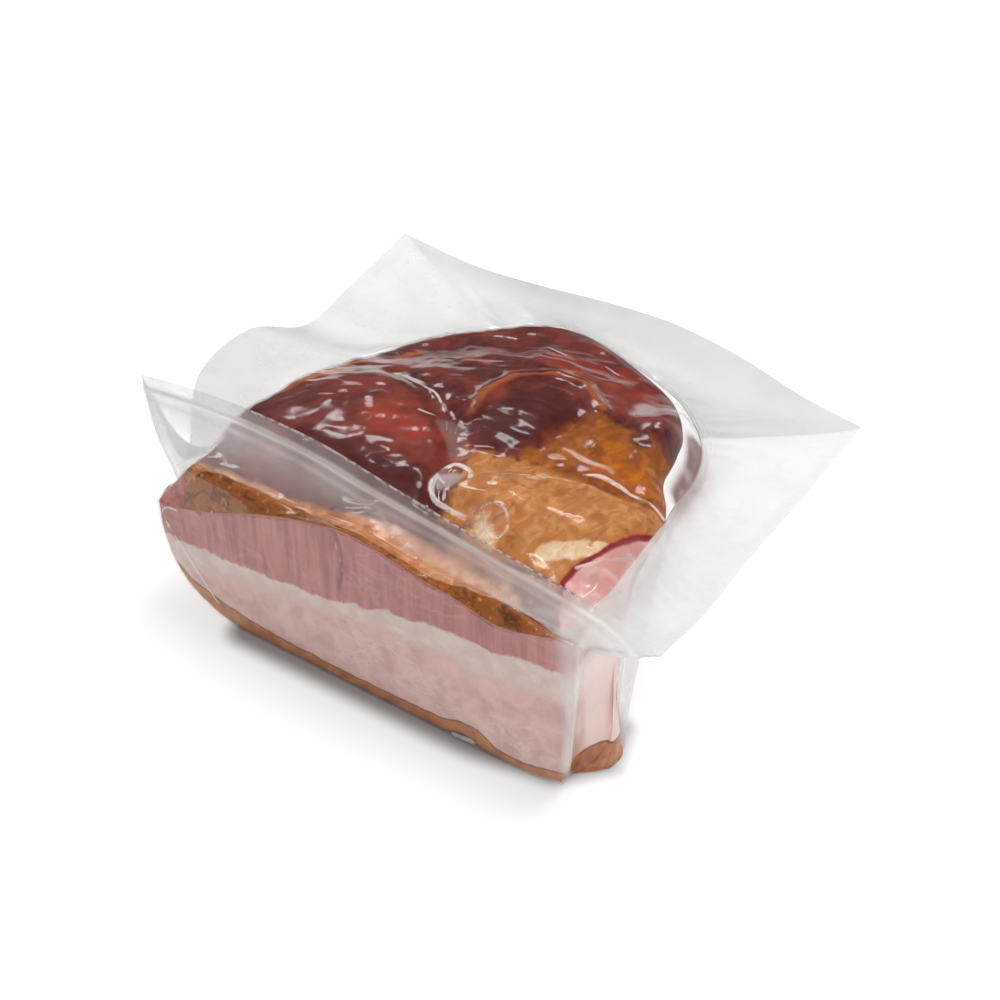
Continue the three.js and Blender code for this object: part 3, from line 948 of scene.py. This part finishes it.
def slab_top_fields(x, y):
    """Where each finish of the smoked top lies, from 0 to 1, and which side of the short cut's edge."""
    edge_y, edge_x = zip(*SHORT_CUT_EDGE)
    past_edge = x - np.interp(y, edge_y, edge_x)
    fields = {
        name: np.maximum.reduce([share * near(x, y, path, reach) for share, path, reach in places])
        for name, places in FINISHES.items()
    }
    fields.update(
        red_end=smooth((-74 - x) / 6) * smooth((-40 - y) / 16),
        pink=past_edge * smooth((12 - y) / 10) - 4 * smooth((y - 2) / 6),
        edge_line=smooth((-4 - y) / 6),
    )
    return fields


class BACONPACK_OT_add_slab(bpy.types.Operator):
    """Add the slab of bacon that lies in the pouch"""

    bl_idname = "bacon_pack.add_slab"
    bl_label = "Add slab"
    bl_options = {"REGISTER", "UNDO"}

    def execute(self, context):
        look = context.scene.bacon_slab
        columns = make_columns(SLAB_STEPS, SLAB)
        top_count, side_count, foot_count = 104, 84, 5

        share = np.linspace(1, 0, top_count + 1)[1:, None] ** 1.25
        inset = columns.reach * share
        top = top_point(columns, inset)
        x, y = top[..., 0], top[..., 1]
        lumps = 1.1 * layered_noise(x / 13, y / 9, 11) + 0.35 * noise(x / 4, y / 2.6, 17)
        top[..., 2] += lumps * smooth(inset / 7)
        in_front = 1 - columns.from_cut
        crust_zone = in_front * smooth((9 - inset) / 5) * smooth(inset / 0.8)
        top[..., 2] += crust_zone * 0.9 * layered_noise(x / 4, y / 3, 23)

        side = side_points(columns, side_count)
        outward = grid_normals(side)
        x, y, z = side[..., 0], side[..., 1], side[..., 2]
        run = np.broadcast_to(columns.along, x.shape)
        fine = 0.22 * layered_noise(run / 3.2, z / 7, 31)
        lumps = 0.9 * layered_noise(run / 16, z / 12, 37) * columns.natural
        lean_crease_x = -5 + 2.2 * np.sin((z - 40) / 8)
        off_front = 99 * (columns.side != 0)
        crease = np.hypot(x - lean_crease_x, 0.4 * (43 - z).clip(0)) + off_front
        notch = 1.2 * bell(crease / 1.2)
        hollow = smooth(z / 8) * smooth((columns.upper[:, 2] - z) / 4)
        side = side + outward * ((fine + lumps - notch) * hollow)[..., None]
        pocket = bell((x - 47) / 6) * smooth((-60 - y) / 10) * smooth((7 - z) / 7)
        side[..., 2] += 2.4 * pocket

        foot = foot_points(columns, np.linspace(0, 1, foot_count + 1)[1:-1])
        rings = np.concatenate([top, side[1:], foot])

        x, y, z = rings[..., 0], rings[..., 1], rings[..., 2]
        ring = np.arange(len(rings))[:, None]
        in_top = ring < top_count
        all_inset = np.concatenate([inset, np.zeros_like(x[top_count:])])
        wave = look.wavy * layered_noise(x / 12, y / 12, 41)
        fields = {
            name: values * in_top + (0 if name != "pink" else -5) * ~in_top
            for name, values in slab_top_fields(x, y).items()
        }
        crust_reach = 1 + line_height(CRUST_REACH, x)
        off_left_end = smooth((x + 80) / 8)
        behind_reach = 15 + 5 * smooth((x + 10) / 30)
        behind = smooth((behind_reach - all_inset) / 9) * smooth((72 - x) / 12)
        all_crease = np.full_like(x, 99)
        all_crease[top_count : top_count + side_count - 1] = crease[1:]
        fields.update(
            lean=z - line_height(LEAN_BOTTOM, x) + wave,
            seam=z - line_height(SEAM_BOTTOM, x) + wave,
            rind=z - line_height(RIND_TOP, x),
            cut=(1 - columns.natural) * ~in_top,
            # Paler short cut: partly its own fat and partly painted light
            pale=0.75 * columns.flat * smooth((50 - z) / 8),
            crust=in_front * smooth((crust_reach - all_inset) / 3) * in_top * off_left_end,
            behind_crust=0.9 * in_front * behind * in_top * off_left_end,
            low=(1 - z / columns.upper[:, 2].clip(40)) * ~in_top,
            drop=np.where(in_top, 99, columns.upper[:, 2] - z + 40 * columns.from_cut)
            + 12 * smooth((-70 - x) / 9),
            crease=all_crease,
        )
        summit = [*MIDDLE, top_height(*MIDDLE)]
        slab = new_mesh_object("bacon_slab", rings, fields, summit, [*MIDDLE, 0])
        slab.data.materials.append(make_bacon_material(look))
        slab.data.set_sharp_from_angle(angle=math.radians(50))
        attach(slab, "root")
        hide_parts("vacuum_pouch")
        return {"FINISHED"}


# Where the film is laid milky white in streaks over the top, a painted highlight of its shine along
# creases: a path of plan points and its half width
GLINT_STREAKS = [
    ([(-52, 19), (-42, 15), (-33, 12)], 1.5),
    ([(-32, 11), (-24, 8), (-16, 2)], 0.6),
    ([(-21, -6), (-15, -5)], 0.8),
    ([(-10, -4), (-6, -9)], 0.5),
    ([(20, -30), (17, -26), (9, -24), (8, -30), (10, -38), (15, -43), (22, -45), (30, -46)], 1.1),
    ([(9, -33), (14, -36), (18, -42)], 0.7),
    ([(32, -44), (35, -39), (40, -38), (45, -43), (44, -48), (39, -47), (36, -43)], 0.6),
    ([(47, -1), (53, 2), (66, 0), (73, 0), (82, 1)], 1.0),
    ([(24, -25), (32, -18), (40, -14)], 0.5),
    ([(72, -44), (80, -34), (83, -24)], 0.7),
    ([(-44, 72), (-35, 74)], 0.6),
    ([(-19, 73), (-9, 71)], 0.6),
    ([(7, 74), (15, 72)], 0.5),
    ([(-67, 68), (-61, 63)], 0.7),
    ([(-59, 79), (-51, 77)], 0.7),
]
# Where it bridges a hollow and looks grey: a path, its reach, how milky it is and how much painted shade
# tints it. The grey is partly the film's own haze and partly painted shade and glare.
VEILS = [
    ([(-9, -6), (-1, -11), (7, -19)], 2.6, 0.3, 0.8),
    ([(13, -33)], 4.0, 0.6, 0.0),
    ([(38, 54), (41, 49)], 3.4, 0.62, 0.5),
    ([(67, 46), (71.5, 38), (74.5, 29), (77, 19)], 5.5, 0.9, 1.0),
    ([(36, -43)], 6.0, 0.14, 0.5),
    ([(84, -20), (80, -50)], 4.0, 0.16, 0.6),
]
# Milky white streaks of the film on the long cut, painted highlights of its shine, as (x, height) along it
CUT_GLINT_STREAKS = [
    ([(-87, 36), (-76, 22), (-64, 8)], 0.5),
    ([(44, 1.6), (52, 2.6)], 1.3),
    ([(-4, 62), (-1, 50)], 0.4),
    ([(-62, 50), (-58, 44)], 0.4),
    ([(-90, 37), (-86, 42), (-80, 43)], 0.6),
    ([(-89, 31), (-84, 36)], 0.4),
]


def nearest_path(x, y, paths):
    """Distance to the nearest of some paths, each in its own half widths."""
    return np.minimum.reduce([path_distance(x, y, rounded(path)) / half for path, half in paths])


def rim_points(columns, root, out, sheet):
    """Points of the rim at these shares of the way out: sheet is 1 for the upper and -1 for the lower."""
    out_wide = out[..., None]
    rim = mix(root, columns.free, out_wide)
    rim = rim + columns.bow * (4 * out_wide * (1 - out_wide))
    width = np.linalg.norm(columns.free - root, axis=1)
    from_edge = (1 - out) * width
    along = np.broadcast_to(columns.along, out.shape)
    fades = smooth(out / 0.12) * smooth(from_edge / 7)
    radial = np.abs(noise(along / 7.5 + 0.6 * out, out * 1.4, 51)) - 0.35
    ripple = 1.1 * radial * (1 - out) ** 1.6
    soft = 1.0 * noise(along / 34, out * 2.2, 53) * smooth(out / 0.3)
    stiff = mix(1.0, 0.35, columns.side == 0)
    bulge = (ripple + soft) * fades * stiff
    apart = 0.22 * sheet * smooth(from_edge / 9) + 0.02 * sheet
    ridge = 0.5 * bell((from_edge - 5.0) / 1.1) * sheet * (columns.side == 0)
    outward = columns.free - root
    around = np.roll(columns.free, -1, 0) - np.roll(columns.free, 1, 0)
    facing = np.cross(outward, around)
    facing /= np.linalg.norm(facing, axis=1, keepdims=True).clip(1e-9)
    rim = rim + facing * (bulge + apart + ridge)[..., None]
    return rim, from_edge


class BACONPACK_OT_add_film(bpy.types.Operator):
    """Add the two sheets of film that are sealed together round the slab"""

    bl_idname = "bacon_pack.add_film"
    bl_label = "Add film"
    bl_options = {"REGISTER", "UNDO"}

    def execute(self, context):
        look = context.scene.bacon_film
        columns = make_columns(FILM_STEPS, POUCH)
        material = make_film_material(look)
        rim_count, cling_count = 44, 90
        root = top_point(columns, columns.root_at[None], 0.5, look.gap)[0]

        # The upper sheet clings to the top and then runs out along the rim
        share = np.linspace(1, 0, cling_count + 1)[1:, None] ** 1.2
        inset = mix(columns.root_at, columns.reach, share)
        cling = top_point(columns, inset, 0.4, look.gap + 0.6)
        x, y = cling[..., 0], cling[..., 1]
        lumps = 1.1 * layered_noise(x / 13, y / 9, 11, 2)
        wrinkles = 0.4 * np.abs(noise(x / 9 + y / 14, y / 5 - x / 13, 61)) ** 2
        leaves = smooth((inset - columns.root_at) / 5)
        cling[..., 2] += (lumps + wrinkles) * leaves - (1 - leaves) * 0.6
        streak = nearest_path(x, y, GLINT_STREAKS)
        cling[..., 2] += 0.5 * bell(streak / 1.2)
        out = np.linspace(0, 1, rim_count + 1)[1:, None] * np.ones(columns.count)
        rim, from_edge = rim_points(columns, root, out, 1)
        rings = np.concatenate([cling, rim])
        fields = self.rim_fields(columns, out, from_edge, cling_count)
        for path, reach, milk, shade_tint in VEILS:
            veil = smooth(2 * near(x, y, path, reach))
            for name, amount in (("milk", milk), ("shade_tint", shade_tint)):
                part = fields[name][:cling_count]
                np.maximum(part, amount * veil, out=part)
        fields["streak"][:cling_count] = streak
        summit = [*MIDDLE, top_height(*MIDDLE, 0.4) + look.gap + 0.6]
        upper = new_mesh_object("upper_film", rings, fields, summit)

        # The lower sheet comes back along the rim, over the crust and down round the slab
        out = np.linspace(1, 0, rim_count + 1)[:, None] * np.ones(columns.count)
        rim, from_edge = rim_points(columns, root, out, -1)
        strip_share = np.linspace(1, 0, 8)[1:, None]
        strip = top_point(columns, columns.root_at * strip_share, 1.0, look.gap + 0.2)
        strip[..., 1] -= 0.4 * (columns.side == 0)
        sides = self.side_film(columns, look)
        rings = np.concatenate([rim, strip, sides])
        fields = self.rim_fields(columns, out, from_edge, 0, len(strip) + len(sides))
        self.mark_sides(columns, rings, fields, rim_count + 1)
        lower = new_mesh_object("lower_film", rings, fields, None, [*MIDDLE, 0.0])
        for sheet in (upper, lower):
            sheet.data.materials.append(material)
            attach(sheet, "root")
        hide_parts("vacuum_pouch")
        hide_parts("vacuum_pouch")
        return {"FINISHED"}

    def rim_fields(self, columns, out, from_edge, before, after=0):
        """The film's fields: the rim's own numbers, with plain ones for the rings before and after it."""
        front = (columns.side == 0) * np.ones_like(out)
        seal = 0.12 * smooth((4.6 - from_edge) / 1.2) * front
        # Painted highlight: the film is milkier along its ridge, where it shines
        ridge = 0.8 * bell((from_edge - 5.2) / 0.9) * front
        second = 0.2 * bell((from_edge - 9.5) / 1.2) * front
        right_end = 0.16 * smooth((columns.share - 0.55) / 0.4) * front
        near_cut = (columns.side == 1) * smooth((0.5 - columns.share) / 0.4)
        milk = mix(0.32, 0.32 * smooth((out - 0.12) / 0.6), front) - seal + ridge + second
        milk = milk + right_end + 0.15 * near_cut
        pocket = (columns.side == 1) * bell((columns.share - 0.6) / 0.2) * bell(out / 0.2)
        milk = milk + 0.06 * bell(out / 0.3) * (1 - front) + 0.2 * pocket
        over_meat = smooth((columns.share - 0.2) / 0.06) * smooth((0.84 - columns.share) / 0.05)
        # Painted shade, set per side to even out the light each side gets: full at the back, 0.8 on the
        # left, 0.35 on the right
        grey = np.select([columns.side == 1, columns.side == 3], [0.35, 0.8], 1.0)
        fields = {
            "milk": (milk, CLING_MILK),
            "streak": (99.0, 99.0),
            # Painted shade: a darker tint in the pocket at the right and in front of the meat
            "shade_tint": (0.42 * front * over_meat + 0.8 * pocket, 0.0),
            "grey": (grey * (1 - front), 0.0),
            "taut": (1.0, 0.0),
            "edge": (from_edge + 9 * (1 - over_meat * front), 99.0),
            "rim": (smooth(out / 0.15), 0.0),
        }
        whole = {}
        for name, (on_rim, elsewhere) in fields.items():
            on_rim = np.broadcast_to(on_rim, out.shape)
            rest = [np.full((n, columns.count), elsewhere) for n in (before, after)]
            whole[name] = np.concatenate([rest[0], on_rim, rest[1]])
        return whole

    def mark_sides(self, columns, rings, fields, start):
        """The film round the sides: its fold at the corner of the two cuts, and its streaks of painted
        highlight.
        """
        x, y, z = (rings[start:, :, k] for k in range(3))
        fields["taut"][start:] = 1
        on_front = columns.side == 0
        fields["streak"][start:] = nearest_path(x, z, CUT_GLINT_STREAKS) + 99 * ~on_front
        past_corner = columns.along - columns.corner_along
        half = 2.2 + 4 * smooth((z - 36) / 22)
        fold = 0.95 * bell((past_corner - 0.8) / half) * smooth((z - 4) / 8)
        web = 0.3 * (columns.side == 1) * smooth((y + 46) / 8)
        fields["milk"][start:] = np.maximum(CLING_MILK, np.maximum(fold, web))

    def side_film(self, columns, look):
        """The film round the slab's sides, and under its foot."""
        sides = side_points(columns, 60)
        sides = sides + grid_normals(sides) * (look.gap + 0.3)
        sides[..., 2] = sides[..., 2].clip(0)
        return np.concatenate([sides, foot_points(columns, np.linspace(0.2, 0.8, 4))])


class BACONPACK_OT_add_stage(bpy.types.Operator):
    """Add the floor, the light and the camera"""

    bl_idname = "bacon_pack.add_stage"
    bl_label = "Add stage"
    bl_options = {"REGISTER", "UNDO"}

    def execute(self, context):
        look = context.scene.bacon_stage
        scene = context.scene
        scene.view_settings.view_transform = "Standard"
        self.add_floor()

        for name, (place, size, setting, part) in SOFTBOXES.items():
            box = self.add_softbox(name, place, size, getattr(look, setting) * part)
            # The film doesn't mirror the large light overhead, so that its glints stay small
            box.visible_glossy = name != "key_softbox"

        world = bpy.data.worlds.new("studio")
        scene.world = world
        world.use_nodes = True
        world.node_tree.nodes.clear()
        w = Wiring(world.node_tree)
        path = w.node("ShaderNodeLightPath").outputs
        tone = w.blend(path["Is Glossy Ray"], STUDIO_TONE, MIRRORED_TONE)
        tone = w.blend(path["Is Camera Ray"], tone, BACKDROP_TONE)
        sky = w.node("ShaderNodeBackground")
        w.join(tone, sky.inputs["Color"])
        output = w.node("ShaderNodeOutputWorld")
        w.join(sky.outputs[0], output.inputs["Surface"])

        lens = bpy.data.cameras.new("camera")
        lens.lens = look.lens
        lens.sensor_width = 36
        camera = bpy.data.objects.new("camera", lens)
        scene.collection.objects.link(camera)
        camera.location = look.camera_place
        aim = Vector(look.camera_aim) - camera.location
        camera.rotation_euler = aim.to_track_quat("-Z", "Y").to_euler()
        scene.camera = camera
        return {"FINISHED"}

    def add_floor(self):
        """A flat lit floor, in rings whose points know how far they lie from the slab's foot."""
        radii = np.concatenate([np.linspace(20, 200, 91), [400, 1200, 3000]])[:, None]
        turns = np.linspace(0, 2 * np.pi, 240, endpoint=False)
        x, y = radii * np.cos(turns), radii * np.sin(turns)
        rings = np.stack([x, y, np.full(x.shape, FLOOR_HEIGHT)], -1)
        # The painted glow reaches closer to the slab on its right, so that little shadow shows there
        away = path_distance(x, y, [*POUCH.foot, POUCH.foot[0]]) + 6 * smooth((x - 45) / 45)
        floor = new_mesh_object("floor", rings, {"away": away}, [0, 0, FLOOR_HEIGHT])
        floor.data.materials.append(make_floor_material())

    def add_softbox(self, name, place, size, power):
        """A square area light that faces the pack."""
        light = bpy.data.lights.new(name, "AREA")
        light.energy = power
        light.size = size
        box = bpy.data.objects.new(name, light)
        bpy.context.scene.collection.objects.link(box)
        box.location = place
        aim = Vector(LIGHT_AIM) - box.location
        box.rotation_euler = aim.to_track_quat("-Z", "Y").to_euler()
        return box


class BACONPACK_PT_panel(bpy.types.Panel):
    """The pack's pieces and the stage"""

    bl_label = "Bacon Pack"
    bl_idname = "BACONPACK_PT_panel"
    bl_space_type = "VIEW_3D"
    bl_region_type = "UI"
    bl_category = "Bacon Pack"

    def draw(self, context):
        for operator in OPERATORS:
            self.layout.operator(operator.bl_idname)


OPERATORS = (BACONPACK_OT_add_slab, BACONPACK_OT_add_film, BACONPACK_OT_add_stage)
SETTINGS = {
    "bacon_slab": SlabSettings,
    "bacon_film": FilmSettings,
    "bacon_stage": StageSettings,
}


def register():
    """Register the classes, and hang the settings on the scene."""
    for kind in (*SETTINGS.values(), *OPERATORS, BACONPACK_PT_panel):
        bpy.utils.register_class(kind)
    for name, kind in SETTINGS.items():
        setattr(bpy.types.Scene, name, bpy.props.PointerProperty(type=kind))


def unregister():
    """Take the settings and the classes away again."""
    for name in SETTINGS:
        delattr(bpy.types.Scene, name)
    for kind in (BACONPACK_PT_panel, *OPERATORS, *SETTINGS.values()):
        bpy.utils.unregister_class(kind)


def main():
    """Make everything."""
    register()
    bpy.ops.bacon_pack.add_stage()
    bpy.ops.bacon_pack.add_slab()
    bpy.ops.bacon_pack.add_film()


if __name__ == "__main__":
    main()
